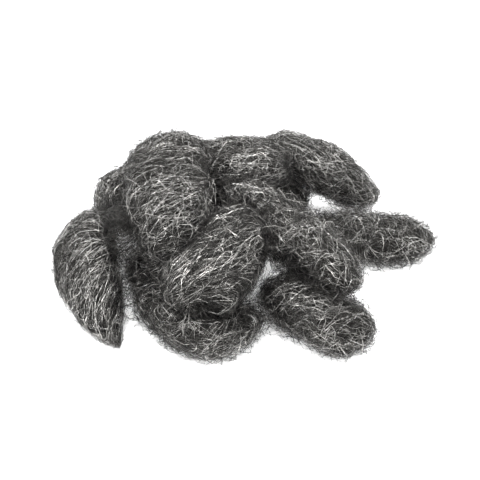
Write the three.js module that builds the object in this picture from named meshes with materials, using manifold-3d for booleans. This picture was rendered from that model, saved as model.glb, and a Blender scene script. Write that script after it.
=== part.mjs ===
// Steel wool bundle: twelve loose hand pads of steel wool, heaped together as one bundle.
// Each pad is one wound and folded wad of shaved steel fibre, so each is one closed, soft-edged solid.
// Millimetres, +Z up, origin on the resting surface under the middle of the heap.

import * as THREE from 'three';
import { mergeVertices } from 'three/addons/utils/BufferGeometryUtils.js';
import Module from 'manifold-3d';

const wasm = await Module();
wasm.setup();

// ---------------------------------------------------------------- driving dimensions

const PRESS_GAP = 0.4; // clearance left where one pad presses into the next
const RINGS_ALONG = 14; // rings of facets from end to end of a pad
const FACETS_ROUND = 22; // facets round a pad's section
const SECTION_FULLNESS = 2.3; // superellipse exponent of a pad's section, 2 is an ellipse
const SURFACE_SPAN = 600; // side of the block that stands for everything above the resting surface

const STEEL_WOOL_ROUGHNESS = 0.5;
const STEEL_WOOL_METALNESS = 0.85;

// A pad is given by three points that its middle line passes through (start, middle, end), its half
// width and half thickness at each end, the side it shows upwards, how blunt its two ends are
// (superellipse exponents) and its mean colour. The list runs from the pads that lie on top to the
// pads that they press into, and each pad is hollowed by those before it.
const PADS = [
  {
    name: 'upper_left_pad',
    spine: [[-49, 76, 60], [-52, 12, 63], [-42, -48, 46]],
    halfWidth: [31, 26],
    halfThickness: [17, 17],
    up: [-0.15, 0, 1],
    endFullness: [2.9, 2.6],
    colour: 0x6e6d6b,
  },
  {
    name: 'rolled_front_pad',
    spine: [[9, 2, 45], [-9, -33, 46], [-30, -90, 38]],
    halfWidth: [21, 35],
    halfThickness: [16, 20],
    up: [0, 0.15, 0.99],
    endFullness: [2.4, 3.6],
    colour: 0x7b7a77,
  },
  {
    name: 'diagonal_pad',
    spine: [[-5, 27, 50], [35, -15, 43], [78.5, -59, 29]],
    halfWidth: [17, 23],
    halfThickness: [17, 17],
    up: [0.25, -0.15, 0.95],
    endFullness: [2.4, 2.6],
    colour: 0x757471,
  },
  {
    name: 'back_pad',
    spine: [[-48, 62, 42], [-6, 67, 48], [36, 60, 48]],
    halfWidth: [25, 25],
    halfThickness: [16, 16],
    up: [0, 0, 1],
    endFullness: [2.4, 2.5],
    colour: 0x666562,
  },
  {
    name: 'left_pad',
    spine: [[-99, 18, 38], [-106, -33, 27], [-76.5, -90.5, 1.5]],
    halfWidth: [26, 20],
    halfThickness: [17, 16],
    up: [-0.45, -0.25, 0.85],
    endFullness: [1.9, 1.55],
    colour: 0x73726f,
  },
  {
    name: 'arched_back_pad',
    spine: [[13, 92, 46], [60, 82.5, 36], [100.5, 70.5, 10]],
    halfWidth: [23, 20.5],
    halfThickness: [16, 14],
    up: [0, 0, 1],
    endFullness: [2.4, 2.7],
    colour: 0x656461,
  },
  {
    name: 'low_front_pad',
    spine: [[-77, -29, 15], [-25, -80, 16], [10, -62, 17]],
    halfWidth: [20, 27],
    halfThickness: [19, 19],
    up: [0.05, -0.3, 0.95],
    endFullness: [1.6, 1.6],
    colour: 0x595856,
  },
  {
    name: 'front_right_pad',
    spine: [[18, -40, 19], [50, -66, 15], [83, -93.5, 12]],
    halfWidth: [24, 23],
    halfThickness: [16, 15],
    up: [0, -0.1, 0.99],
    endFullness: [2.3, 2.9],
    colour: 0x6c6b68,
  },
  {
    name: 'left_back_pad',
    spine: [[-101, 45, 27], [-70, 64, 22], [-22, 80, 18]],
    halfWidth: [26, 30],
    halfThickness: [22, 22],
    up: [0, 0, 1],
    endFullness: [2.3, 2.4],
    colour: 0x666562,
  },
  {
    name: 'right_pad',
    spine: [[38, 25.5, 13], [88, 21.5, 13], [139, 18.5, 13]],
    halfWidth: [23, 22.5],
    halfThickness: [15, 15],
    up: [0, 0, 1],
    endFullness: [2.3, 3.0],
    colour: 0x696865,
  },
  {
    name: 'low_back_pad',
    spine: [[-30, 80, 16], [10, 76, 17], [53.5, 70.5, 15]],
    halfWidth: [27, 27],
    halfThickness: [19, 18],
    up: [0, 0, 1],
    endFullness: [2.3, 2.4],
    colour: 0x454442,
  },
  {
    name: 'inner_pad',
    spine: [[-80, -20, 15], [-32, 2, 18], [2, 44, 17]],
    halfWidth: [26, 26],
    halfThickness: [20, 20],
    up: [0, 0, 1],
    endFullness: [2.3, 2.3],
    colour: 0x454442,
  },
];

// ---------------------------------------------------------------- helpers

// The value a given share of the way from the first to the second.
function mix(first, second, share) {
  return first + (second - first) * share;
}

// A power of a signed number that keeps its sign.
function signedPower(value, power) {
  return Math.sign(value) * Math.abs(value) ** power;
}

// The quadratic curve through a pad's start, middle and end points.
function spineCurve(pad) {
  const [start, middle, end] = pad.spine.map((point) => new THREE.Vector3(...point));
  const control = middle.clone().multiplyScalar(2).sub(start.clone().add(end).multiplyScalar(0.5));
  return new THREE.QuadraticBezierCurve3(start, control, end);
}

// A closed pillow form: a unit sphere whose poles become the pad's ends and whose rings become
// superellipse sections square to the spine. The ends close as superellipses too. `margin` stands
// the whole surface off by that distance.
function padGeometry(pad, margin) {
  const geometry = new THREE.SphereGeometry(1, FACETS_ROUND, RINGS_ALONG);
  const position = geometry.attributes.position;
  const curve = spineCurve(pad);
  const halfLength = curve.getLength() / 2;
  const sphere = new THREE.Vector3();
  const side = new THREE.Vector3();
  const up = new THREE.Vector3();
  for (let index = 0; index < position.count; index += 1) {
    sphere.fromBufferAttribute(position, index);
    const ringRadius = Math.hypot(sphere.x, sphere.z);
    const fullness = sphere.y > 0 ? pad.endFullness[0] : pad.endFullness[1];
    const along = -signedPower(sphere.y, 2 / fullness);
    const swell = ringRadius ** (2 / fullness);
    const round = ringRadius > 1e-9 ? 1 / ringRadius : 0;
    const across = signedPower(sphere.x * round, 2 / SECTION_FULLNESS);
    const height = signedPower(sphere.z * round, 2 / SECTION_FULLNESS);

    const share = (along + 1) / 2;
    const centre = curve.getPoint(share);
    const tangent = curve.getTangent(share);
    up.set(...pad.up).addScaledVector(tangent, -tangent.dot(up)).normalize();
    side.crossVectors(up, tangent);

    const width = (mix(...pad.halfWidth, share) + margin) * swell;
    const thickness = (mix(...pad.halfThickness, share) + margin) * swell;
    centre.addScaledVector(tangent, (along * margin * (halfLength + margin)) / halfLength);
    centre.addScaledVector(side, across * width);
    centre.addScaledVector(up, height * thickness);
    position.setXYZ(index, centre.x, centre.y, centre.z);
  }
  return geometry;
}

// A closed geometry as a solid that can be cut. Vertices that share a place are merged first.
function toSolid(geometry) {
  const bare = geometry.clone();
  bare.deleteAttribute('normal');
  bare.deleteAttribute('uv');
  const merged = mergeVertices(bare, 1e-4);
  const vertProperties = Float32Array.from(merged.attributes.position.array);
  const triVerts = withoutCollapsed(merged.index.array);
  return new wasm.Manifold(new wasm.Mesh({ numProp: 3, vertProperties, triVerts }));
}

// The triangles whose three corners are different vertices.
function withoutCollapsed(corners) {
  const kept = [];
  for (let index = 0; index < corners.length; index += 3) {
    const [a, b, c] = corners.slice(index, index + 3);
    if (a !== b && b !== c && c !== a) {
      kept.push(a, b, c);
    }
  }
  return Uint32Array.from(kept);
}

// The largest separate body of a solid, so that a cut leaves one pad and no crumbs.
function largestBody(solid) {
  const bodies = solid.decompose();
  return bodies.reduce((best, body) => (body.volume() > best.volume() ? body : best));
}

// A solid as a geometry that a mesh can show.
function toGeometry(solid) {
  const { vertProperties, triVerts, numProp } = solid.getMesh();
  const places = [];
  for (let index = 0; index < vertProperties.length; index += numProp) {
    places.push(...vertProperties.slice(index, index + 3));
  }
  const geometry = new THREE.BufferGeometry();
  geometry.setAttribute('position', new THREE.Float32BufferAttribute(places, 3));
  geometry.setIndex(Array.from(triVerts));
  geometry.computeVertexNormals();
  return geometry;
}

// ---------------------------------------------------------------- sub-parts

// Everything above the resting surface, as one block. A pad that reaches it gets a flat spot there.
function spaceAboveSurface() {
  const block = new THREE.BoxGeometry(SURFACE_SPAN, SURFACE_SPAN, SURFACE_SPAN);
  block.translate(0, 0, SURFACE_SPAN / 2);
  return toSolid(block);
}

// One pad: its pillow form, flat where it meets the resting surface and hollowed where the pads
// on top of it press in.
function steelWoolPad(pad, above, pressing) {
  let solid = toSolid(padGeometry(pad, 0)).intersect(above);
  for (const neighbour of pressing) {
    solid = solid.subtract(neighbour);
  }
  const material = new THREE.MeshStandardMaterial({
    color: pad.colour,
    roughness: STEEL_WOOL_ROUGHNESS,
    metalness: STEEL_WOOL_METALNESS,
  });
  const mesh = new THREE.Mesh(toGeometry(largestBody(solid)), material);
  mesh.name = pad.name;
  return mesh;
}

// ---------------------------------------------------------------- the bundle

// The heap of pads, moved sideways so that the middle of its box stands over the origin.
function steelWoolBundle() {
  const heap = new THREE.Group();
  const above = spaceAboveSurface();
  const pressing = [];
  for (const pad of PADS) {
    heap.add(steelWoolPad(pad, above, pressing));
    pressing.push(toSolid(padGeometry(pad, PRESS_GAP)));
  }
  const middle = new THREE.Box3().setFromObject(heap).getCenter(new THREE.Vector3());
  heap.position.set(-middle.x, -middle.y, 0);
  return heap;
}

export default steelWoolBundle();
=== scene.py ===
"""Steel wool bundle: loose hand pads of shaved steel fibre, heaped on a pale floor.

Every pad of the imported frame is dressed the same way. Its soft outer surface is read from the CAD
node as a grid of points. A closed wad just inside that surface is the matted bulk, and thousands of
separate fibres run over and through it: laid fibres that follow the pad's winding, curly ones that
cross them, loops that spring out of it and loose ends that stand off as fuzz. More fibres catch on two
pads and cross the crease between them.

Lengths are metres, in the frame's own axes: +X right, +Y back, +Z up.
"""

from __future__ import annotations

import logging
import math
from dataclasses import dataclass, field
from enum import Enum

import bmesh
import bpy
import numpy as np
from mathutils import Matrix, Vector
from numpy.typing import NDArray


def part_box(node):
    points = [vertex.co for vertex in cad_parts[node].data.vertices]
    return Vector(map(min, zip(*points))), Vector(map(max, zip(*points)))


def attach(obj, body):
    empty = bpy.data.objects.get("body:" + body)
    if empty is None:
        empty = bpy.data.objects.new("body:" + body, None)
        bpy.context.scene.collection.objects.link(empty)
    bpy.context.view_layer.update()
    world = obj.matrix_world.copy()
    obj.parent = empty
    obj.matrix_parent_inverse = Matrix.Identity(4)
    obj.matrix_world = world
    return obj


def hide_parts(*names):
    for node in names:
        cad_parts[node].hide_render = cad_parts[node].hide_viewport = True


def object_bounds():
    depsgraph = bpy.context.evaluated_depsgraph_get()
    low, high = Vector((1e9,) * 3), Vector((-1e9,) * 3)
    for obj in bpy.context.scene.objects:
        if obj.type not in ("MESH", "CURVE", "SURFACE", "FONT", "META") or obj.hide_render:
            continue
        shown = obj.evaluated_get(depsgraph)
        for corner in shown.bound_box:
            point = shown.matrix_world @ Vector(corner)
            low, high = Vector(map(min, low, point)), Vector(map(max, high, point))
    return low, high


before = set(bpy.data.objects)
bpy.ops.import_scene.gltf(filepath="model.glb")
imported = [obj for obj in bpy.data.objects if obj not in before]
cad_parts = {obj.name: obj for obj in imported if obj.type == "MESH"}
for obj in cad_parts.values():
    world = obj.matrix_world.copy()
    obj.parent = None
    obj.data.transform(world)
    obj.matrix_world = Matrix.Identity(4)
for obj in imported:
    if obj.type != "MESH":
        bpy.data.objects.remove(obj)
CAD_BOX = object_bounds()

Array = NDArray[np.float64]
LOG = logging.getLogger("steel_wool")

MM = 0.001
BODY = "root"
SEED = 4096

TRIANGLES_FOR_FIBRES = 850_000
TONE_ROWS = 64  # bands of the fibres' map, one tone each
FIBRE_MAP = "OFBake"


# ---- small helpers


def linear(colour: str) -> tuple[float, float, float, float]:
    """Turn an sRGB hex colour into linear light.

    Args:
        colour: Six hex digits after a hash sign.

    Returns:
        Red, green, blue and an alpha of one.
    """
    parts = [int(colour[i : i + 2], 16) / 255 for i in (1, 3, 5)]
    red, green, blue = (p / 12.92 if p <= 0.04045 else ((p + 0.055) / 1.055) ** 2.4 for p in parts)
    return red, green, blue, 1.0


def new_finish(name: str, **values: object) -> tuple[bpy.types.Material, bpy.types.Node]:
    """Make a material.

    Args:
        name: The material's name.
        values: Constant values of the shader's sockets, by name with _ for a space.

    Returns:
        The material and its shader.
    """
    made = bpy.data.materials.new(name)
    made.use_nodes = True
    shader = made.node_tree.nodes["Principled BSDF"]
    for socket, value in values.items():
        shader.inputs[socket.replace("_", " ")].default_value = value
    return made, shader


def unit(vectors: Array) -> Array:
    """Scale vectors in the last axis to length one, and leave those of no length at zero."""
    length = np.linalg.norm(vectors, axis=-1, keepdims=True)
    return vectors / np.maximum(length, 1e-12)


def dot(first: Array, second: Array) -> Array:
    """Return the dot product along the last axis, kept as an axis of one."""
    return np.sum(first * second, axis=-1, keepdims=True)


def mm(low: float, high: float) -> tuple[float, float]:
    """Return a range given in millimetres as metres."""
    return low * MM, high * MM


def mesh_object(name: str, points: Array, faces: NDArray[np.int32]) -> bpy.types.Object:
    """Make a smooth-shaded object from whole arrays.

    Args:
        name: The object's and the mesh's name.
        points: Places of the vertices, (N, 3).
        faces: Vertex numbers of the faces, (F, 3) or (F, 4), turning outwards.

    Returns:
        The object, linked to the scene, at the origin.
    """
    mesh = bpy.data.meshes.new(name)
    count, corners = faces.shape
    mesh.vertices.add(len(points))
    mesh.vertices.foreach_set("co", points.astype(np.float32).ravel())
    mesh.loops.add(count * corners)
    mesh.loops.foreach_set("vertex_index", faces.astype(np.int32).ravel())
    mesh.polygons.add(count)
    mesh.polygons.foreach_set("loop_start", np.arange(0, count * corners, corners, dtype=np.int32))
    mesh.polygons.foreach_set("use_smooth", np.ones(count, dtype=bool))
    mesh.update(calc_edges=True)
    made = bpy.data.objects.new(name, mesh)
    bpy.context.scene.collection.objects.link(made)
    return made


def add_node(
    tree: bpy.types.NodeTree,
    kind: str,
    links: dict[str | int, bpy.types.NodeSocket] | None = None,
    **settings: object,
) -> bpy.types.Node:
    """Add a node with its settings and links.

    Args:
        tree: The node tree it goes into.
        kind: The node's type name.
        links: Input socket, by name or number, to the output that feeds it.
        settings: Input sockets' values by name, and the node's own properties.

    Returns:
        The new node.
    """
    node = tree.nodes.new(kind)
    for name, value in settings.items():
        socket = node.inputs.get(name.replace("_", " "))
        if hasattr(node, name) or socket is None:
            setattr(node, name, value)
        else:
            socket.default_value = value
    for name, source in (links or {}).items():
        tree.links.new(source, node.inputs[name])
    return node


# ---- finishes


@dataclass(frozen=True)
class ShavedSteelFibre:
    """Low-carbon steel, shaved into fine fibres and left bare.

    To the eye: thin dull-grey threads, a few of them catching the light as painted glints, darker in
    painted shade where they dive into the pad. The tone of a fibre is its band on the fibres' own map, and
    along it the grey rises and falls in painted glints and painted shade, as the light plays on a flat
    fibre that twists.
    """

    darkest: str = "#080808"
    middle: str = "#42413f"
    middle_tone: float = 0.7  # most fibres are dark, and the brightest third carry painted glints
    brightest: str = "#e2e0dc"
    roughness: float = 0.46
    painted_glints_per_fibre: float = 12.0  # painted glints along one fibre, one for each twist
    bands_per_painted_glint: float = 1.5
    painted_glint_range: tuple[float, float] = (0.15, 1.9)  # dimmest and brightest place on one fibre: painted shade and painted glint

    def material(self) -> bpy.types.Material:
        """Build the material, which reads only the fibres' own map."""
        made, shader = new_finish("shaved_steel_fibre", Metallic=1.0, Roughness=self.roughness)
        tree = made.node_tree
        place = add_node(tree, "ShaderNodeUVMap", uv_map=FIBRE_MAP)
        parts = add_node(tree, "ShaderNodeSeparateXYZ", {"Vector": place.outputs["UV"]})
        ramp = add_node(tree, "ShaderNodeValToRGB", {"Fac": parts.outputs["Y"]})
        stops = ramp.color_ramp
        stops.elements[0].color = linear(self.darkest)
        stops.elements[1].color = linear(self.brightest)
        stops.elements.new(self.middle_tone).color = linear(self.middle)

        stretch = add_node(
            tree,
            "ShaderNodeMapping",
            {"Vector": place.outputs["UV"]},
            Scale=(self.painted_glints_per_fibre, TONE_ROWS / self.bands_per_painted_glint, 1.0),
        )
        # painted glints and painted shade along each fibre: noise on the fibres' map scales its tone
        noise = add_node(
            tree, "ShaderNodeTexNoise", {"Vector": stretch.outputs["Vector"]}, Scale=1.0, Detail=2.0
        )
        lift = add_node(
            tree,
            "ShaderNodeMapRange",
            {"Value": noise.outputs["Fac"]},
            From_Min=0.32,
            From_Max=0.68,
            To_Min=self.painted_glint_range[0],
            To_Max=self.painted_glint_range[1],
        )
        tinted = add_node(
            tree,
            "ShaderNodeVectorMath",
            {0: ramp.outputs["Color"], "Scale": lift.outputs["Result"]},
            operation="SCALE",
        )
        tree.links.new(tinted.outputs["Vector"], shader.inputs["Base Color"])
        return made


@dataclass(frozen=True)
class MattedSteelPaintedShade:
    """The same steel, matted in the depth of a pad.

    To the eye: a dark, rough tangle that shows only between the outer fibres; its dark colour is painted
    shade for the depth of the pad. The real fibre is about 0.03 mm thick, too fine to show, so the tangle
    is drawn with clumps of about 1 mm.
    """

    # all its tones are dark: painted shade of the pad's depth
    darkest: str = "#080808"
    brightest: str = "#2a2928"
    metallic: float = 0.7  # air and shade between the fibres take off some of the metal's look
    roughness: float = 0.65
    clump: float = 0.9 * MM
    relief: float = 0.6 * MM

    def material(self) -> bpy.types.Material:
        """Build the material on Object coordinates."""
        made, shader = new_finish(
            "matted_steel_painted_shade", Metallic=self.metallic, Roughness=self.roughness
        )
        tree = made.node_tree
        place = add_node(tree, "ShaderNodeTexCoord")
        tangle = add_node(
            tree,
            "ShaderNodeTexNoise",
            {"Vector": place.outputs["Object"]},
            Scale=1 / self.clump,
            Detail=4.0,
            Roughness=0.7,
            Distortion=1.5,
        )
        ramp = add_node(tree, "ShaderNodeValToRGB", {"Fac": tangle.outputs["Fac"]})
        ramp.color_ramp.elements[0].position = 0.35
        ramp.color_ramp.elements[0].color = linear(self.darkest)
        ramp.color_ramp.elements[1].position = 0.7
        ramp.color_ramp.elements[1].color = linear(self.brightest)
        relief = add_node(
            tree,
            "ShaderNodeBump",
            {"Height": tangle.outputs["Fac"]},
            Strength=0.8,
            Distance=self.relief,
        )
        tree.links.new(ramp.outputs["Color"], shader.inputs["Base Color"])
        tree.links.new(relief.outputs["Normal"], shader.inputs["Normal"])
        return made


# ---- soft variation


@dataclass(frozen=True)
class Ripple:
    """A smooth random value over space: a sum of plane waves in random directions.

    Attributes:
        ways: Wave vectors in radians a metre, (W, 3).
        phases: Starting phases, (W,).
    """

    ways: Array
    phases: Array

    WAVES = 16

    @classmethod
    def drawn(cls, rng: np.random.Generator, shortest: float, longest: float) -> Ripple:
        """Draw a ripple with wavelengths between shortest and longest."""
        pitch = rng.uniform(shortest, longest, cls.WAVES)
        ways = unit(rng.normal(size=(cls.WAVES, 3))) / pitch[:, None] * 2 * math.pi
        return cls(ways, rng.uniform(0, 2 * math.pi, cls.WAVES))

    def at(self, points: Array) -> Array:
        """Return the value at points, spread about 0 by about 1: sines over the root of half W."""
        waves = np.sin(points @ self.ways.T + self.phases)
        return waves.sum(axis=-1) / math.sqrt(self.WAVES / 2)


# ---- a pad's surface


@dataclass
class PadSurface:
    """A pad's closed outer surface, as rings of points from one end of the pad to the other.

    A unit direction of the pad's own ball stands for each point: the ball's poles are the pad's two
    ends, and the ball is stretched to the pad's own long, wide and thin reach before its rays are
    followed out to the skin.

    Attributes:
        centre: Middle of the pad, (3,).
        axes: Its long, wide and thin ways as rows, (3, 3).
        reach: How far it reaches along each of them, (3,).
        grid: The surface's points, (rings, columns, 3).
    """

    centre: Array
    axes: Array
    reach: Array
    grid: Array

    RINGS = 37
    ROUND = 72
    PROBE_RADIUS = 1.0 * MM
    SOFTENING_PASSES = 6
    NUDGE = 0.03  # step over the ball that a slope is measured across, in radians

    @classmethod
    def from_node(cls, node: str) -> PadSurface:
        """Read the surface of a CAD node.

        Args:
            node: Name of the CAD node.

        Returns:
            Its surface, with the facets smoothed away.
        """
        skin = merged_copy(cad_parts[node])
        centre, axes, reach = principal_shape(skin)
        directions = unit(ball_grid(cls.RINGS, cls.ROUND) * reach) @ axes
        probe = mesh_object(
            "probe", centre + cls.PROBE_RADIUS * closed_points(directions), ball_faces(cls.RINGS, cls.ROUND)
        )
        wrap = probe.modifiers.new("to_skin", "SHRINKWRAP")
        wrap.target = skin
        wrap.wrap_method = "PROJECT"
        wrap.use_positive_direction = True
        wrap.use_negative_direction = False
        found = evaluated_points(probe)
        for used in (probe, skin):
            bpy.data.objects.remove(used)
        surface = cls(centre, axes, reach, open_grid(found, cls.RINGS, cls.ROUND))
        surface.soften(cls.SOFTENING_PASSES)
        return surface

    def soften(self, passes: int) -> None:
        """Average each point with its four neighbours, passes times, and close the two ends."""
        for _ in range(passes):
            ring_sides = np.roll(self.grid, 1, axis=1) + np.roll(self.grid, -1, axis=1)
            inner = self.grid[1:-1]
            along = self.grid[2:] + self.grid[:-2]
            self.grid[1:-1] = 0.5 * inner + 0.125 * (ring_sides[1:-1] + along)
            self.grid[0] = self.grid[1].mean(axis=0)
            self.grid[-1] = self.grid[-2].mean(axis=0)

    def at(self, where: Array) -> Array:
        """Return the surface's points under directions of its ball, mixed from the four nearest."""
        ring = np.arccos(np.clip(where[:, 0], -1.0, 1.0)) / math.pi * (self.RINGS - 1)
        turn = np.arctan2(where[:, 2], where[:, 1]) / (2 * math.pi) % 1.0 * self.ROUND
        low_ring = np.minimum(ring.astype(int), self.RINGS - 2)
        low_turn = turn.astype(int) % self.ROUND
        next_turn = (low_turn + 1) % self.ROUND
        along = (ring - low_ring)[:, None]
        across = (turn - np.floor(turn))[:, None]
        near = self.grid[low_ring, low_turn] * (1 - across) + self.grid[low_ring, next_turn] * across
        far = self.grid[low_ring + 1, low_turn] * (1 - across)
        far += self.grid[low_ring + 1, next_turn] * across
        return near * (1 - along) + far * along

    def slopes(self, where: Array) -> tuple[Array, Array, Array, Array]:
        """Find how the surface runs under directions of its ball.

        Args:
            where: Unit directions, (N, 3).

        Returns:
            Two unit vectors square to each direction, and the surface's two slopes along them.
        """
        helper = np.where(np.abs(where[:, 2:3]) < 0.8, [[0.0, 0.0, 1.0]], [[0.0, 1.0, 0.0]])
        first = unit(np.cross(helper, where))
        second = np.cross(where, first)
        steps = (self.NUDGE * first, self.NUDGE * second)
        slope_a, slope_b = (
            (self.at(unit(where + step)) - self.at(unit(where - step))) / (2 * self.NUDGE) for step in steps
        )
        return first, second, slope_a, slope_b

    def outward(self, where: Array) -> Array:
        """Return the outward unit normals under directions of the ball."""
        _, _, slope_a, slope_b = self.slopes(where)
        return self.facing(self.at(where), slope_a, slope_b)

    def facing(self, points: Array, slope_a: Array, slope_b: Array) -> Array:
        """Return the unit normals of two slopes at surface points, turned away from the centre."""
        normal = unit(np.cross(slope_a, slope_b))
        return normal * np.sign(dot(normal, points - self.centre))

    def holds(self, points: Array) -> NDArray[np.bool_]:
        """Say which points lie inside the surface, by their distance from its centre."""
        offset = points - self.centre
        where = unit((offset @ self.axes.T) / self.reach)
        return np.linalg.norm(offset, axis=-1) < np.linalg.norm(self.at(where) - self.centre, axis=-1)

    def scatter(self, count: int, rng: np.random.Generator, weights: Array) -> Array:
        """Pick directions of the ball whose surface points are spread by area times a weight.

        Args:
            count: How many to pick.
            rng: Source of the random draws.
            weights: One weight a cell of the grid, ring by ring.

        Returns:
            Unit directions, (count, 3).
        """
        chance = self.cell_areas().ravel() * weights
        cell = rng.choice(chance.size, count, p=chance / chance.sum())
        ring = (cell // self.ROUND + rng.random(count)) / (self.RINGS - 1) * math.pi
        turn = (cell % self.ROUND + rng.random(count)) / self.ROUND * 2 * math.pi
        return np.stack([np.cos(ring), np.sin(ring) * np.cos(turn), np.sin(ring) * np.sin(turn)], axis=-1)

    def cell_areas(self) -> Array:
        """Return the area of each cell of the grid: half the cross product of its diagonals."""
        after = np.roll(self.grid, -1, axis=1)
        one = after[1:] - self.grid[:-1]
        other = self.grid[1:] - after[:-1]
        return np.linalg.norm(np.cross(one, other), axis=-1) / 2

    def cell_middles(self) -> Array:
        """Return the direction of the ball at the middle of each cell, (cells, 3)."""
        ring = (np.arange(self.RINGS - 1)[:, None] + 0.5) / (self.RINGS - 1) * math.pi
        turn = (np.arange(self.ROUND)[None, :] + 0.5) / self.ROUND * 2 * math.pi
        parts = np.broadcast_arrays(
            np.cos(ring), np.sin(ring) * np.cos(turn), np.sin(ring) * np.sin(turn)
        )
        return np.stack(parts, axis=-1).reshape(-1, 3)


def ball_grid(rings: int, columns: int) -> Array:
    """Return unit directions in rings from the +X pole to the -X pole, (rings, columns, 3)."""
    ring = np.linspace(0, math.pi, rings)[:, None]
    turn = (np.arange(columns) / columns * 2 * math.pi)[None, :]
    parts = np.broadcast_arrays(np.cos(ring), np.sin(ring) * np.cos(turn), np.sin(ring) * np.sin(turn))
    return np.stack(parts, axis=-1)


def closed_points(grid: Array) -> Array:
    """Flatten a grid of rings to vertices, with one vertex for each pole."""
    return np.concatenate([grid[0, :1], grid[1:-1].reshape(-1, 3), grid[-1, :1]])


def open_grid(points: Array, rings: int, columns: int) -> Array:
    """Turn closed_points' vertices back into a grid of rings."""
    first = np.repeat(points[None, :1], columns, axis=1)
    last = np.repeat(points[None, -1:], columns, axis=1)
    return np.concatenate([first, points[1:-1].reshape(rings - 2, columns, 3), last])


def ball_faces(rings: int, columns: int) -> NDArray[np.int32]:
    """Return closed_points' triangles, turning outwards: fans at the poles, split quads between."""
    column = np.arange(columns)
    after = (column + 1) % columns
    start = 1 + columns * np.arange(rings - 3)[:, None]
    low_a, low_b = start + column, start + after
    high_a, high_b = low_a + columns, low_b + columns
    last_ring = 1 + columns * (rings - 3)
    last = 1 + columns * (rings - 2)
    fans = [
        np.stack([np.zeros_like(column), 1 + column, 1 + after], axis=-1),
        np.stack([np.full_like(column, last), last_ring + after, last_ring + column], axis=-1),
    ]
    bands = [
        np.stack([low_a, high_a, high_b], axis=-1).reshape(-1, 3),
        np.stack([low_a, high_b, low_b], axis=-1).reshape(-1, 3),
    ]
    return np.concatenate(fans + bands).astype(np.int32)


def merged_copy(source: bpy.types.Object) -> bpy.types.Object:
    """Copy a CAD node's mesh into a new object and join its loose triangles."""
    build = bmesh.new()
    build.from_mesh(source.data)
    bmesh.ops.remove_doubles(build, verts=build.verts, dist=0.01 * MM)
    mesh = bpy.data.meshes.new("skin")
    build.to_mesh(mesh)
    build.free()
    made = bpy.data.objects.new("skin", mesh)
    bpy.context.scene.collection.objects.link(made)
    return made


def evaluated_points(made: bpy.types.Object) -> Array:
    """Return an object's vertices with its modifiers applied."""
    bpy.context.view_layer.update()
    shown = made.evaluated_get(bpy.context.evaluated_depsgraph_get())
    mesh = shown.to_mesh()
    found = np.empty(len(mesh.vertices) * 3, np.float32)
    mesh.vertices.foreach_get("co", found)
    shown.to_mesh_clear()
    return found.reshape(-1, 3).astype(float)


def principal_shape(skin: bpy.types.Object) -> tuple[Array, Array, Array]:
    """Find the middle, the long, wide and thin axes and the reach of a closed mesh.

    The middle is the centroid of the volume: the mean of the tetrahedra from the origin to each
    triangle. The axes are the eigenvectors of the triangles' scatter about it, weighted by area.

    Args:
        skin: A closed mesh object.

    Returns:
        The middle (3,), the axes as rows (3, 3), and the furthest reach along each axis (3,).
    """
    mesh = skin.data
    points = evaluated_points(skin)
    mesh.calc_loop_triangles()
    corners = np.empty(len(mesh.loop_triangles) * 3, np.int32)
    mesh.loop_triangles.foreach_get("vertices", corners)
    a, b, c = (points[corners[i::3]] for i in range(3))
    volume = dot(a, np.cross(b, c)) / 6
    middle = ((a + b + c) / 4 * volume).sum(axis=0) / volume.sum()
    area = np.linalg.norm(np.cross(b - a, c - a), axis=-1)
    offset = (a + b + c) / 3 - middle
    _, vectors = np.linalg.eigh((offset * area[:, None]).T @ offset)
    long_axis, wide_axis = vectors[:, 2], vectors[:, 1]
    long_axis = long_axis * np.sign(long_axis[np.argmax(np.abs(long_axis))])
    wide_axis = wide_axis * np.sign(wide_axis[np.argmax(np.abs(wide_axis))])
    axes = np.stack([long_axis, wide_axis, np.cross(long_axis, wide_axis)])
    reach = np.abs((points - middle) @ axes.T).max(axis=0)
    return middle, axes, reach


# ---- how fibres run


@dataclass(frozen=True)
class Flow:
    """The way the fibres of a pad run.

    Attributes:
        grain: Heading of the fibres away from a swirl.
        scatter: Spread of the fibres' headings about that way, in radians.
        swirl_at: Middle of the winding as shares of the pad's box, or None.
        swirl_axis: Axis that the fibres wind about.
        swirl_reach: Distance over which the winding fades into the grain.
        oval_along: Way of the long side of the winding's ovals.
        oval: How many times longer than wide the ovals are.
        weave: How far the headings sway together from place to place, in radians.
    """

    grain: tuple[float, float, float]
    scatter: float = 0.4
    swirl_at: tuple[float, float, float] | None = None
    swirl_axis: tuple[float, float, float] = (0.0, -0.6, 0.8)
    swirl_reach: float = 0.3
    oval_along: tuple[float, float, float] = (1.0, 0.0, 0.0)
    oval: float = 1.0
    weave: float = 0.25

    def heading(self, points: Array, low: Array, high: Array) -> Array:
        """Return the way the fibres run at points of a pad.

        Near the swirl it is the tangent of the oval through the point: for an arm (x, y) along the
        oval's long and short sides it is (-y times the oval's stretch squared, x). It fades to the
        grain with distance, as a bell curve does.

        Args:
            points: Places on the pad, (N, 3).
            low: Lowest corner of the pad's box.
            high: Highest corner of the pad's box.

        Returns:
            Unit vectors, (N, 3).
        """
        grain = np.broadcast_to(unit(np.array(self.grain)), points.shape)
        if self.swirl_at is None:
            return grain
        axis = unit(np.array(self.swirl_axis))
        arm = points - (low + np.array(self.swirl_at) * (high - low))
        side = np.array(self.oval_along)
        side = unit(side - side @ axis * axis)
        other = np.cross(axis, side)
        x, y = dot(arm, side), dot(arm, other)
        winding = unit(x * other - y * self.oval**2 * side)
        radius = np.sqrt((x / self.oval) ** 2 + y**2)
        weight = np.exp(-((radius / self.swirl_reach) ** 2))
        matched = grain * np.sign(dot(grain, winding) + 1e-9)
        return unit(weight * winding + (1 - weight) * matched)


class Lie(Enum):
    """How a fibre lies against its pad."""

    LAID = "laid"
    CURLY = "curly"
    LOOP = "loop"
    LOOSE_END = "loose_end"


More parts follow.
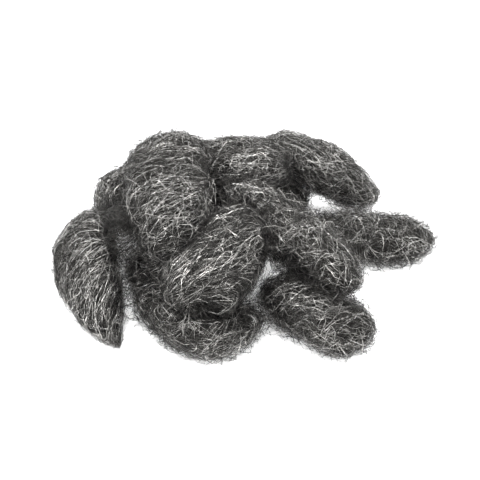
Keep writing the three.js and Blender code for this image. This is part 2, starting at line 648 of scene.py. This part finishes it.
@dataclass(frozen=True)
class FibreKind:
    """One kind of fibre on a pad.

    Attributes:
        lie: How it lies.
        share: Its share of a usual pad's fibres.
        length: Shortest and longest length.
        turn: How much wider than the pad's own scatter its headings spread, in radians.
        curl: Spread of its curvature over the surface, in radians a metre.
        kink: Spread of the small turns at its points, in radians.
        depth: Lowest and highest place of its body above the surface.
        rise: Lowest and highest height that its middle or its free end stands up by.
        tone: Lowest and highest tone, from 0, darkest, to 1.
        radius: Smallest and largest radius or half width. The real fibre is about 0.03 mm thick, too
            fine to show, so it is drawn as coarse as it needs to show.
        sides: 2 for a flat strip and 3 for a round thread.
        nodes: Points along it, its two tips included.
    """

    lie: Lie
    share: float
    length: tuple[float, float]
    turn: float
    curl: float
    kink: float
    depth: tuple[float, float]
    rise: tuple[float, float]
    tone: tuple[float, float]
    radius: tuple[float, float]
    sides: int = 2
    nodes: int = 6

    def triangles(self) -> int:
        """Return the triangles of one fibre: two a face for each inner point."""
        return 2 * (self.nodes - 2) * (3 if self.sides == 3 else 1)


KINDS = (
    FibreKind(  # the bed of laid fibres deep in the pad, dark in painted shade
        Lie.LAID, share=0.22, length=mm(28, 50), turn=0.0, curl=10.0, kink=0.10,
        depth=mm(-2.2, -0.9), rise=mm(0.4, 1.2), tone=(0.0, 0.35), radius=mm(0.11, 0.16),
    ),
    FibreKind(  # the laid fibres that show
        Lie.LAID, share=0.36, length=mm(22, 46), turn=0.0, curl=14.0, kink=0.16,
        depth=mm(-0.9, 0.7), rise=mm(0.3, 1.4), tone=(0.05, 1.0), radius=mm(0.075, 0.11),
    ),
    FibreKind(  # wide curls across them
        Lie.CURLY, share=0.12, length=mm(10, 24), turn=0.8, curl=90.0, kink=0.2,
        depth=mm(-0.5, 0.9), rise=mm(0.3, 1.8), tone=(0.0, 1.0), radius=mm(0.075, 0.115),
    ),
    FibreKind(  # short tight curls
        Lie.CURLY, share=0.08, length=mm(6, 12), turn=2.0, curl=240.0, kink=0.2,
        depth=mm(-0.5, 1.2), rise=mm(0.3, 1.8), tone=(0.0, 1.0), radius=mm(0.075, 0.115),
    ),
    FibreKind(  # loops that spring out
        Lie.LOOP, share=0.07, length=mm(12, 30), turn=1.2, curl=60.0, kink=0.2,
        depth=mm(-1.0, 0.5), rise=mm(2.0, 7.0), tone=(0.1, 0.9), radius=mm(0.10, 0.15), sides=3,
    ),
    FibreKind(  # the fuzz
        Lie.LOOSE_END, share=0.15, length=mm(8, 20), turn=1.4, curl=110.0, kink=0.25,
        depth=mm(-0.5, 0.5), rise=mm(2.0, 8.0), tone=(0.1, 0.85), radius=mm(0.10, 0.16),
        sides=3, nodes=5,
    ),
    FibreKind(  # long fly-aways
        Lie.LOOSE_END, share=0.03, length=mm(16, 32), turn=1.0, curl=70.0, kink=0.25,
        depth=mm(-0.5, 0.5), rise=mm(3.5, 8.5), tone=(0.0, 0.7), radius=mm(0.09, 0.13), sides=3,
    ),
)


@dataclass
class Fibres:
    """Fibres of one kind as whole arrays.

    Attributes:
        paths: Points along each fibre, (N, K, 3).
        normals: The pad's outward normals under them, (N, K, 3).
        radii: Radius or half width of each fibre, (N,).
        tones: Tone of each fibre, (N,).
        rolls: Turn of each fibre about its own path, in radians, (N,).
        sides: 2 for flat strips and 3 for round threads.
    """

    paths: Array
    normals: Array
    radii: Array
    tones: Array
    rolls: Array
    sides: int

    END_SWELL = 0.55  # width beside a tip against the width in the middle

    def threads(self) -> tuple[Array, NDArray[np.int32], Array]:
        """Make every fibre a strip, or a closed three-sided thread, with pointed tips.

        Round each inner point of a path two or three vertices stand at equal turns, square to the
        path, and a single vertex closes each tip. The fibre swells from its tips as half a sine wave.
        On the fibres' map u runs along the fibre and v is its tone's band, with the faces of a thread
        one above the other in the band.

        Returns:
            The vertices (V, 3), the triangles (F, 3) and their map places (F, 3, 2).
        """
        count, nodes = self.paths.shape[:2]
        along = unit(np.gradient(self.paths, axis=1))
        side = unit(np.cross(along, self.normals))
        up = np.cross(side, along)
        start = math.pi if self.sides == 2 else math.pi / 2
        turns = start - np.arange(self.sides) / self.sides * 2 * math.pi
        turns = (turns[None] + self.rolls[:, None])[:, None, :, None]
        share = np.linspace(0, 1, nodes)[1:-1]
        swell = (self.END_SWELL + (1 - self.END_SWELL) * np.sin(math.pi * share))[None, :, None, None]
        ring = np.cos(turns) * side[:, 1:-1, None] + np.sin(turns) * up[:, 1:-1, None]
        rings = self.paths[:, 1:-1, None] + self.radii[:, None, None, None] * swell * ring
        points = np.concatenate(
            [self.paths[:, :1], rings.reshape(count, -1, 3), self.paths[:, -1:]], axis=1
        )
        faces, spots = thread_pattern(nodes, self.sides)
        numbers = faces[None] + (np.arange(count) * points.shape[1])[:, None, None]
        band = np.clip((self.tones * TONE_ROWS).astype(int), 0, TONE_ROWS - 1)
        places = np.broadcast_to(spots[None], (count, *spots.shape)).copy()
        places[..., 1] = (band[:, None, None] + places[..., 1]) / TONE_ROWS
        return points.reshape(-1, 3), numbers.reshape(-1, 3), places.reshape(-1, 3, 2)


def thread_object(name: str, groups: list[Fibres]) -> bpy.types.Object:
    """Make one object of several groups of fibres, with the fibres' map on it.

    Args:
        name: Name of the object.
        groups: The fibres.

    Returns:
        The object.
    """
    points: list[Array] = []
    faces: list[NDArray[np.int32]] = []
    places: list[Array] = []
    start = 0
    for group in groups:
        group_points, group_faces, group_places = group.threads()
        points.append(group_points)
        faces.append(group_faces + start)
        places.append(group_places)
        start += len(group_points)
    made = mesh_object(name, np.concatenate(points), np.concatenate(faces))
    layer = made.data.uv_layers.new(name=FIBRE_MAP)
    layer.data.foreach_set("uv", np.concatenate(places).astype(np.float32).ravel())
    return made


def thread_pattern(nodes: int, sides: int) -> tuple[NDArray[np.int32], Array]:
    """Work out one fibre's triangles and where they lie on the fibres' map.

    Vertex 0 is the first tip, then come the rings, then the last tip. Face m lies between ring
    vertices m and m + 1, and takes its own third of the band's height. A strip has one face, which
    takes the whole height.

    Args:
        nodes: Points along the fibre, its two tips included.
        sides: Vertices in a ring, 2 or 3.

    Returns:
        Vertex numbers (F, 3), and map places (F, 3, 2) with v from 0 to 1 in the band.
    """
    rings = nodes - 2
    last = 1 + sides * rings
    strips = 1 if sides == 2 else sides
    faces: list[tuple[int, int, int]] = []
    spots: list[list[tuple[float, float]]] = []

    def spot(node: float, m: int, edge: float) -> tuple[float, float]:
        """Return the map place of a point at a path node, on an edge (0 or 1) of face m."""
        return node / (nodes - 1), (m + 0.15 + 0.7 * edge) / strips

    for m in range(strips):
        after = (m + 1) % sides
        faces.append((0, 1 + after, 1 + m))
        spots.append([spot(0, m, 0.5), spot(1, m, 1), spot(1, m, 0)])
        for k in range(rings - 1):
            low, high = 1 + sides * k, 1 + sides * (k + 1)
            faces.append((low + m, low + after, high + after))
            spots.append([spot(k + 1, m, 0), spot(k + 1, m, 1), spot(k + 2, m, 1)])
            faces.append((low + m, high + after, high + m))
            spots.append([spot(k + 1, m, 0), spot(k + 2, m, 1), spot(k + 2, m, 0)])
        top = last - sides
        faces.append((top + m, top + after, last))
        spots.append([spot(rings, m, 0), spot(rings, m, 1), spot(rings + 1, m, 0.5)])
    return np.array(faces, np.int32), np.array(spots)


# ---- a pad


@dataclass(frozen=True)
class PaintedLightPatch:
    """A place on a pad whose fibres are paler, as painted light, where its gain is above 0, and darker, as
    painted shade, where it is below.

    Attributes:
        at: Its middle as shares of the pad's box.
        reach: Distance over which it fades.
        gain: Change of the fibres' tone in its middle.
    """

    at: tuple[float, float, float]
    reach: float
    gain: float


@dataclass
class Pad:
    """One hand pad: its matted wad and the fibres over it.

    Attributes:
        node: The CAD node that it stands for.
        flow: How its fibres run.
        density: Fibres for its open area, against the other pads.
        tone: Shift of its fibres' tones, up for a paler pad. The low back pad's is painted shade and the
            inner pad's painted light.
        curly: Curly fibres against the usual.
        fuzz: Loops and loose ends against the usual, in number and height.
        patches: Paler and darker places: painted light and painted shade.
        fill: How full the wad is, from 0 to 1.
        surface: Its outer surface.
        rng: Source of its random draws.
        open_cells: Weight of each cell of the surface for fibres.
        crease_cells: The same for loops and loose ends.
    """

    node: str
    flow: Flow
    density: float = 1.0
    tone: float = 0.0
    curly: float = 1.0
    fuzz: float = 1.0
    patches: tuple[PaintedLightPatch, ...] = ()
    fill: float = 0.4
    surface: PadSurface = field(init=False)
    rng: np.random.Generator = field(init=False)
    open_cells: Array = field(init=False)
    crease_cells: Array = field(init=False)

    OUTSET = -0.7 * MM  # leaves the outermost room to the loose ends
    LUMP = 1.3 * MM  # soft lumps of the whole pad
    LUMP_PITCH = mm(14, 40)
    WAD_INSET = 2.8 * MM  # the wad's surface stands this far inside the pad's
    WAD_LUMP = 0.5 * MM
    WAD_LUMP_PITCH = mm(6, 15)
    SWAY_PITCH = mm(9, 28)
    TUFT_DEPTH = 0.5 * MM  # locks of fibre lie this much higher and lower
    TUFT_PITCH = mm(4, 14)
    MOST_ROLL = 0.7  # a fibre lies turned by up to this about its own path, in radians
    LOOSE_POWER = 1.3  # a loose end rises with this power of its length
    NEIGHBOUR_PROBE = 2.5 * MM  # a place with another pad this near is covered
    CREASE_PROBE = 9.0 * MM  # and with one this near it looks into a crease
    CREASE_GAIN = 1.5
    COVERED_WEIGHT = 0.06
    FLOOR_CLEARANCE = 0.35 * MM

    def __post_init__(self) -> None:
        """Read the pad's surface from its node and give it soft lumps."""
        self.surface = PadSurface.from_node(self.node)
        self.rng = np.random.default_rng(SEED + sum(ord(letter) for letter in self.node))
        where = ball_grid(PadSurface.RINGS, PadSurface.ROUND).reshape(-1, 3)
        lumps = np.tanh(Ripple.drawn(self.rng, *self.LUMP_PITCH).at(self.surface.grid.reshape(-1, 3)))
        lift = (self.OUTSET + self.LUMP * lumps)[:, None]
        moved = self.surface.grid.reshape(-1, 3) + lift * self.surface.outward(where)
        self.surface.grid = moved.reshape(self.surface.grid.shape)
        self.surface.soften(1)

    def find_open_cells(self, others: list[Pad]) -> None:
        """Weigh each cell of the surface: one in the open, little where a pad or the floor covers it.

        Cells that look into a crease between two pads are marked for more loops and loose ends.

        Args:
            others: All the pads.
        """
        middles = self.surface.cell_middles()
        points, outward = self.surface.at(middles), self.surface.outward(middles)
        probe = points + self.NEIGHBOUR_PROBE * outward
        far_probe = points + self.CREASE_PROBE * outward
        covered = probe[:, 2] < 0.0
        near = np.zeros(len(points), bool)
        for other in others:
            if other is not self:
                covered |= other.surface.holds(probe)
                near |= other.surface.holds(far_probe)
        self.open_cells = np.where(covered, self.COVERED_WEIGHT, 1.0)
        self.crease_cells = self.open_cells * np.where(near, self.CREASE_GAIN, 1.0)

    def open_area(self) -> float:
        """Return the area that takes fibres, scaled by the pad's density."""
        return float((self.surface.cell_areas().ravel() * self.open_cells).sum() * self.density)

    def build_wad(self, finish: bpy.types.Material) -> bpy.types.Object:
        """Build the closed wad: the pad's surface moved inwards, with small lumps.

        Args:
            finish: The wad's material.

        Returns:
            The wad.
        """
        rings, columns = PadSurface.RINGS, PadSurface.ROUND
        where = ball_grid(rings, columns).reshape(-1, 3)
        skin = self.surface.at(where)
        lumps = Ripple.drawn(self.rng, *self.WAD_LUMP_PITCH).at(skin)[:, None]
        moved = skin + self.surface.outward(where) * (self.WAD_LUMP * lumps - self.WAD_INSET)
        moved[:, 2] = np.maximum(moved[:, 2], self.FLOOR_CLEARANCE)
        grid = moved.reshape(rings, columns, 3)
        grid[0] = grid[1].mean(axis=0)
        grid[-1] = grid[-2].mean(axis=0)
        wad = mesh_object(f"{self.node}_wad", closed_points(grid), ball_faces(rings, columns))
        wad.data.materials.append(finish)
        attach(wad, BODY)
        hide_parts(self.node)
        return wad

    def kind_shares(self) -> Array:
        """Return the share of each kind of fibre on this pad, which sum to one."""
        gains = {Lie.LAID: 1.0, Lie.CURLY: self.curly, Lie.LOOP: self.fuzz, Lie.LOOSE_END: self.fuzz}
        shares = np.array([kind.share * gains[kind.lie] for kind in KINDS])
        return shares / shares.sum()

    def grow(self, kind: FibreKind, count: int, sway: Ripple, tuft: Ripple) -> Fibres:
        """Grow fibres of one kind over the pad, each from a random open place.

        Args:
            kind: The kind of fibre.
            count: How many.
            sway: Soft variation of the heading.
            tuft: Soft variation of the depth.

        Returns:
            The fibres.
        """
        rng = self.rng
        springs = kind.lie in (Lie.LOOP, Lie.LOOSE_END)
        where = self.surface.scatter(count, rng, self.crease_cells if springs else self.open_cells)
        step = rng.uniform(*kind.length, count) / (kind.nodes - 1)
        spread = self.flow.scatter + kind.turn
        turned = rng.normal(0, spread, count) + math.pi * rng.integers(0, 2, count)
        curl = rng.normal(0, kind.curl, count)
        kinks = rng.normal(0, kind.kink, (count, kind.nodes))
        bends = turned[:, None] + kinks + (curl * step)[:, None] * np.arange(kind.nodes)
        path, normal = self.walk(where, step, bends, sway)

        share = np.linspace(0, 1, kind.nodes)
        loose = kind.lie is Lie.LOOSE_END
        shape = share**self.LOOSE_POWER if loose else np.sin(math.pi * share)
        depth = rng.uniform(*kind.depth, count)[:, None] + self.TUFT_DEPTH * np.tanh(tuft.at(path))
        rise = rng.uniform(*kind.rise, count)[:, None] * (math.sqrt(self.fuzz) if springs else 1.0)
        path = path + (depth + rise * shape)[..., None] * normal
        path[..., 2] = np.maximum(path[..., 2], self.FLOOR_CLEARANCE)

        tone = self.tones_at(path[:, kind.nodes // 2], rng.uniform(*kind.tone, count))
        rolls = rng.uniform(-self.MOST_ROLL, self.MOST_ROLL, count)
        return Fibres(path, normal, rng.uniform(*kind.radius, count), tone, rolls, kind.sides)

    def walk(self, where: Array, step: Array, bends: Array, sway: Ripple) -> tuple[Array, Array]:
        """Walk over the surface in equal steps.

        Each step turns from the pad's flow by the fibre's own bend and the sway there. It is set out
        on the surface's two slopes, by solving for the share of each that adds up to it.

        Args:
            where: Directions of the ball to start from, (N, 3).
            step: Length of each fibre's steps, (N,).
            bends: Angle from the flow at each point of each fibre, (N, K).
            sway: Soft variation of the heading.

        Returns:
            The points (N, K, 3) and the surface's outward normals there.
        """
        low, high = self.corners()
        paths, normals = [], []
        for bend in bends.T:
            first, second, slope_a, slope_b = self.surface.slopes(where)
            point = self.surface.at(where)
            normal = self.surface.facing(point, slope_a, slope_b)
            paths.append(point)
            normals.append(normal)
            run = self.flow.heading(point, low, high)
            run = unit(run - dot(run, normal) * normal)
            angle = (bend + self.flow.weave * sway.at(point))[:, None]
            way = np.cos(angle) * run + np.sin(angle) * np.cross(normal, run)
            aa, ab, bb = dot(slope_a, slope_a), dot(slope_a, slope_b), dot(slope_b, slope_b)
            wa, wb = dot(slope_a, way), dot(slope_b, way)
            scale = np.maximum(aa * bb - ab * ab, 1e-14)
            move = ((bb * wa - ab * wb) * first + (aa * wb - ab * wa) * second) / scale
            where = unit(where + step[:, None] * move)
        return np.stack(paths, axis=1), np.stack(normals, axis=1)

    def corners(self) -> tuple[Array, Array]:
        """Return the lowest and the highest corner of the pad's box."""
        low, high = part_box(self.node)
        return np.array(low), np.array(high)

    def tones_at(self, points: Array, tones: Array) -> Array:
        """Shift tones by the pad's own tone and its patches of painted light and painted shade, which fade
        as a bell curve does.

        Args:
            points: Places on the pad, (N, 3).
            tones: Tones before the shift, (N,).

        Returns:
            Tones from 0 to just under 1, (N,).
        """
        low, high = self.corners()
        tones = tones + self.tone
        for patch in self.patches:
            away = np.linalg.norm(points - (low + np.array(patch.at) * (high - low)), axis=-1)
            tones = tones + patch.gain * np.exp(-((away / patch.reach) ** 2))
        return np.clip(tones, 0, 0.999)

    def build_fibres(self, triangles: float, finish: bpy.types.Material) -> bpy.types.Object:
        """Build all the pad's fibres as one piece.

        Args:
            triangles: How many triangles they may take.
            finish: Their material.

        Returns:
            The piece.
        """
        shares = self.kind_shares()
        total = triangles / (shares * np.array([kind.triangles() for kind in KINDS])).sum()
        sway = Ripple.drawn(self.rng, *self.SWAY_PITCH)
        tuft = Ripple.drawn(self.rng, *self.TUFT_PITCH)
        groups = [self.grow(kind, int(total * share), sway, tuft) for kind, share in zip(KINDS, shares)]
        made = thread_object(f"{self.node}_fibres", groups)
        made.data.materials.append(finish)
        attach(made, BODY)
        return made


# ---- between pads


@dataclass(frozen=True)
class Snag:
    """Fibres that catch on two pads and cross the crease between them.

    Attributes:
        first: Node of one pad.
        second: Node of the other.
        count: How many fibres.
        tone: Lowest and highest tone.
    """

    first: str
    second: str
    count: int
    tone: tuple[float, float] = (0.1, 0.75)

    NODES = 7
    DRAWS = 1500  # open points drawn on each pad
    NEAREST = 2.0 * MM
    FURTHEST = 26.0 * MM
    TYPICAL = 10.0 * MM  # the chance of a span falls by e over this length
    SINK = 2.0 * MM  # how deep each end sits in its pad
    HANDLE = 0.35  # reach of a handle towards the other end, against the span
    ARCH = 0.30  # height of a handle, against the span
    WANDER = 0.5  # stray of a handle, against the span
    RADIUS = mm(0.08, 0.14)

    def fibres(self, pads: dict[str, Pad], rng: np.random.Generator) -> Fibres:
        """Draw the fibres.

        Points are drawn on the open surface of both pads, and pairs of them are picked with a chance
        that falls with their distance. A fibre is a cubic Bezier curve from one point to the other,
        and its two handles stand about a third of the span along, raised along the outward normals.

        Args:
            pads: The pads by node.
            rng: Source of the random draws.

        Returns:
            The fibres.
        """
        one, other = pads[self.first], pads[self.second]
        from_where = one.surface.scatter(self.DRAWS, rng, one.open_cells)
        to_where = other.surface.scatter(self.DRAWS, rng, other.open_cells)
        start, end = one.surface.at(from_where), other.surface.at(to_where)
        spans = np.linalg.norm(end[None] - start[:, None], axis=-1).ravel()
        chance = np.exp(-spans / self.TYPICAL) * ((spans > self.NEAREST) & (spans < self.FURTHEST))
        chosen = rng.choice(spans.size, self.count, p=chance / chance.sum())
        picked_a, picked_b = chosen // self.DRAWS, chosen % self.DRAWS
        start, end, span = start[picked_a], end[picked_b], spans[chosen][:, None]
        out_a = one.surface.outward(from_where[picked_a])
        out_b = other.surface.outward(to_where[picked_b])
        ahead = self.HANDLE * unit(end - start)
        stray_a = self.WANDER * rng.normal(size=start.shape)
        stray_b = self.WANDER * rng.normal(size=start.shape)
        handle_a = start + span * (ahead + self.ARCH * out_a + stray_a)
        handle_b = end - span * (ahead - self.ARCH * out_b + stray_b)
        start, end = start - self.SINK * out_a, end - self.SINK * out_b
        t = np.linspace(0, 1, self.NODES)[None, :, None]
        path = (1 - t) ** 3 * start[:, None] + 3 * (1 - t) ** 2 * t * handle_a[:, None]
        path = path + 3 * (1 - t) * t**2 * handle_b[:, None] + t**3 * end[:, None]
        path[..., 2] = np.maximum(path[..., 2], Pad.FLOOR_CLEARANCE)
        normal = np.repeat(unit(out_a + out_b + [0.0, 0.0, 0.5])[:, None], self.NODES, axis=1)
        radii, tones = rng.uniform(*self.RADIUS, self.count), rng.uniform(*self.tone, self.count)
        rolls = rng.uniform(-Pad.MOST_ROLL, Pad.MOST_ROLL, self.count)
        return Fibres(path, normal, radii, tones, rolls, sides=2)


# Tone ranges that start at 0.0 darken crease fibres as painted shade in the deepest creases; the paler
# range between left_pad and inner_pad is painted light.
SNAGS = (
    Snag("left_pad", "left_back_pad", 450, tone=(0.0, 0.7)),
    Snag("left_pad", "inner_pad", 300, tone=(0.2, 0.8)),
    Snag("left_pad", "low_front_pad", 100, tone=(0.1, 0.7)),
    Snag("left_back_pad", "inner_pad", 900, tone=(0.0, 0.5)),
    Snag("left_pad", "upper_left_pad", 600, tone=(0.0, 0.6)),
    Snag("upper_left_pad", "left_back_pad", 350),
    Snag("upper_left_pad", "inner_pad", 500),
    Snag("upper_left_pad", "back_pad", 400),
    Snag("upper_left_pad", "rolled_front_pad", 350),
    Snag("rolled_front_pad", "diagonal_pad", 350),
    Snag("rolled_front_pad", "low_front_pad", 350),
    Snag("back_pad", "diagonal_pad", 400),
    Snag("back_pad", "arched_back_pad", 400),
    Snag("back_pad", "low_back_pad", 350),
    Snag("low_back_pad", "right_pad", 60),
    Snag("low_back_pad", "arched_back_pad", 50),
    Snag("diagonal_pad", "front_right_pad", 350, tone=(0.0, 0.6)),
    Snag("diagonal_pad", "right_pad", 250),
    Snag("low_front_pad", "front_right_pad", 120),
)


# ---- the bundle


@dataclass
class SteelWoolBundle:
    """The whole heap of pads."""

    pads: list[Pad] = field(
        default_factory=lambda: [
            Pad(
                "upper_left_pad",
                Flow(
                    grain=(0.8, 0.6, 0.0), scatter=0.28, weave=0.18,
                    swirl_at=(1.09, -0.19, 0.02), swirl_axis=(0.0, -0.8, 0.6), swirl_reach=0.16,
                ),
                curly=0.7, fuzz=1.3,
                # painted light: lifts the shaded lower right side of the pad
                patches=(PaintedLightPatch(at=(0.85, 0.3, 0.4), reach=22 * MM, gain=0.15),),
            ),
            Pad(
                "rolled_front_pad",
                Flow(
                    grain=(0.64, 0.76, 0.05), scatter=0.18, weave=0.14,
                    swirl_at=(0.41, 0.12, 0.36), swirl_axis=(0.2, -0.9, 0.4), swirl_reach=0.024,
                    oval_along=(1.0, 0.1, 0.15), oval=2.2,
                ),
                tone=-0.03, density=1.15, curly=0.3, fuzz=0.5,
                # painted shade in the hollow at the middle of the roll's swirl
                patches=(PaintedLightPatch(at=(0.42, 0.1, 0.34), reach=13 * MM, gain=-0.3),),
            ),
            Pad(
                "diagonal_pad",
                Flow(grain=(0.7, -0.7, 0.0), scatter=0.7, weave=0.3),
                curly=1.5, fuzz=1.4,
                # painted light on the bright, fuzzy upper end of the pad
                patches=(PaintedLightPatch(at=(0.1, 0.95, 0.9), reach=20 * MM, gain=0.3),),
            ),
            Pad("back_pad", Flow(grain=(1.0, 0.05, 0.0), scatter=0.3), curly=0.7),
            Pad(
                "left_pad",
                Flow(
                    grain=(0.7, 0.7, 0.0), scatter=0.14, weave=0.10,
                    swirl_at=(1.34, 0.10, 0.20), swirl_axis=(-0.2, -0.5, 0.84), swirl_reach=0.4,
                ),
                curly=0.3, fuzz=0.55,
            ),
            Pad("arched_back_pad", Flow(grain=(0.9, -0.2, -0.3), scatter=0.3), curly=0.7),
            Pad("low_front_pad", Flow(grain=(0.9, 0.3, 0.0), scatter=0.45), curly=0.9, fuzz=1.4),
            Pad("front_right_pad", Flow(grain=(0.95, 0.25, 0.0), scatter=0.35), curly=0.6, fuzz=1.3),
            Pad("left_back_pad", Flow(grain=(0.5, 0.8, 0.2), scatter=0.35), curly=0.8),
            Pad("right_pad", Flow(grain=(1.0, 0.0, 0.0), scatter=0.8, weave=0.3), curly=1.5, fuzz=1.6),
            # tone -0.1: painted shade, as this pad lies low under the others
            Pad("low_back_pad", Flow(grain=(1.0, 0.1, 0.0), scatter=0.6), tone=-0.1, density=0.55),
            # tone 0.1: painted light, paler than the shade between the pads around it
            Pad("inner_pad", Flow(grain=(0.6, 0.8, 0.0), scatter=0.6), tone=0.1, density=0.7),
        ]
    )

    def build(self) -> None:
        """Build and dress every pad, and share the fibres out by open area."""
        fibre_finish = ShavedSteelFibre().material()
        wad_painted_shade_finish = MattedSteelPaintedShade().material()
        for pad in self.pads:
            pad.find_open_cells(self.pads)
        areas = np.array([pad.open_area() for pad in self.pads])
        for pad, area in zip(self.pads, areas):
            wad = pad.build_wad(wad_painted_shade_finish)
            fibres = pad.build_fibres(TRIANGLES_FOR_FIBRES * area / areas.sum(), fibre_finish)
            LOG.info("%s: wad %d, fibres %d", pad.node, len(wad.data.polygons), len(fibres.data.polygons))
        by_node = {pad.node: pad for pad in self.pads}
        rng = np.random.default_rng(SEED)
        caught = thread_object("crease_fibres", [snag.fibres(by_node, rng) for snag in SNAGS])
        caught.data.materials.append(fibre_finish)
        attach(caught, BODY)
        LOG.info("crease fibres: %d", len(caught.data.polygons))


# ---- studio


@dataclass
class Studio:
    """Pale floor, soft light and the camera, set out from the bundle's own box.

    Attributes:
        low: Lowest corner of the bundle's box.
        high: Highest corner.
        elevation: Angle that the camera looks down by, in radians.
        lens: Focal length in millimetres.
        sensor: Width of the sensor in millimetres.
        distance_to_width: Camera distance against the bundle's width.
        aim_height: Height of the aim point against the bundle's height.
        aim_side: Sideways place of the aim point against the bundle's width.
        room_light: Strength of the even white light all round.
        floor_glow: Strength of the floor's own light, which keeps it as pale as lit paper.
    """

    low: Vector
    high: Vector
    elevation: float = math.radians(36.0)
    lens: float = 100.0
    sensor: float = 36.0
    distance_to_width: float = 3.517
    aim_height: float = 0.32
    aim_side: float = -0.017
    room_light: float = 2.6
    floor_glow: float = 0.4

    FLOOR_WIDTHS = 20  # side of the floor in widths of the bundle
    LAMP_SIDE = 0.8  # side of a lamp in widths of the bundle

    def build(self) -> None:
        """Set out the camera, the floor, the lamps and the surrounding light."""
        self.add_camera()
        self.add_floor()
        self.add_lamps()
        self.add_surroundings()

    def aim(self) -> Vector:
        """Return the point that the camera looks at."""
        size = self.high - self.low
        middle = (self.low + self.high) / 2
        return Vector((middle.x + self.aim_side * size.x, middle.y, self.low.z + self.aim_height * size.z))

    def add_camera(self) -> None:
        """Add the camera at the front, looking down on the heap."""
        data = bpy.data.cameras.new("camera")
        data.lens = self.lens
        data.sensor_width = self.sensor
        camera = bpy.data.objects.new("camera", data)
        bpy.context.scene.collection.objects.link(camera)
        back = Vector((0.0, -math.cos(self.elevation), math.sin(self.elevation)))
        camera.location = self.aim() + back * self.distance_to_width * (self.high.x - self.low.x)
        camera.rotation_mode = "QUATERNION"
        camera.rotation_quaternion = (-back).to_track_quat("-Z", "Y")
        bpy.context.scene.camera = camera

    def add_floor(self) -> None:
        """Add a wide matt white floor under the heap."""
        span = self.FLOOR_WIDTHS * (self.high.x - self.low.x)
        corners = np.array([[-1, -1], [1, -1], [1, 1], [-1, 1]]) * span / 2
        points = np.column_stack([corners, np.full(4, self.low.z)])
        floor = mesh_object("floor", points, np.array([[0, 1, 2, 3]]))
        paper, _ = new_finish(
            "matt_white_paper",
            Base_Color=linear("#fafafa"),
            Roughness=0.9,
            Emission_Color=linear("#ffffff"),
            Emission_Strength=self.floor_glow,
        )
        floor.data.materials.append(paper)

    def add_lamps(self) -> None:
        """Add a wide soft key lamp over the left front and a weaker one over the back."""
        self.add_lamp("key_lamp", (-0.3, -1.2, 3.2), 9.0)
        self.add_lamp("back_lamp", (0.3, 2.2, 2.6), 5.0)

    def add_lamp(self, name: str, place: tuple[float, float, float], power: float) -> None:
        """Add one square soft lamp that faces the heap.

        Args:
            name: The lamp's name.
            place: Its place from the aim point, in widths of the heap.
            power: Power in watts.
        """
        data = bpy.data.lights.new(name, "AREA")
        data.size = self.LAMP_SIDE * (self.high.x - self.low.x)
        data.energy = power
        lamp = bpy.data.objects.new(name, data)
        bpy.context.scene.collection.objects.link(lamp)
        offset = Vector(place) * (self.high.x - self.low.x)
        lamp.location = self.aim() + offset
        lamp.rotation_mode = "QUATERNION"
        lamp.rotation_quaternion = (-offset).to_track_quat("-Z", "Y")

    def add_surroundings(self) -> None:
        """Surround the heap with even white light and keep its whites plain."""
        world = bpy.data.worlds.new("white_room")
        world.use_nodes = True
        background = world.node_tree.nodes["Background"]
        background.inputs["Color"].default_value = (1.0, 1.0, 1.0, 1.0)
        background.inputs["Strength"].default_value = self.room_light
        bpy.context.scene.world = world
        bpy.context.scene.view_settings.view_transform = "Standard"


def main() -> None:
    """Build the bundle and its studio, and report each piece."""
    logging.basicConfig(level=logging.INFO, format="%(message)s")
    Studio(*CAD_BOX).build()
    SteelWoolBundle().build()


if __name__ == "__main__":
    main()
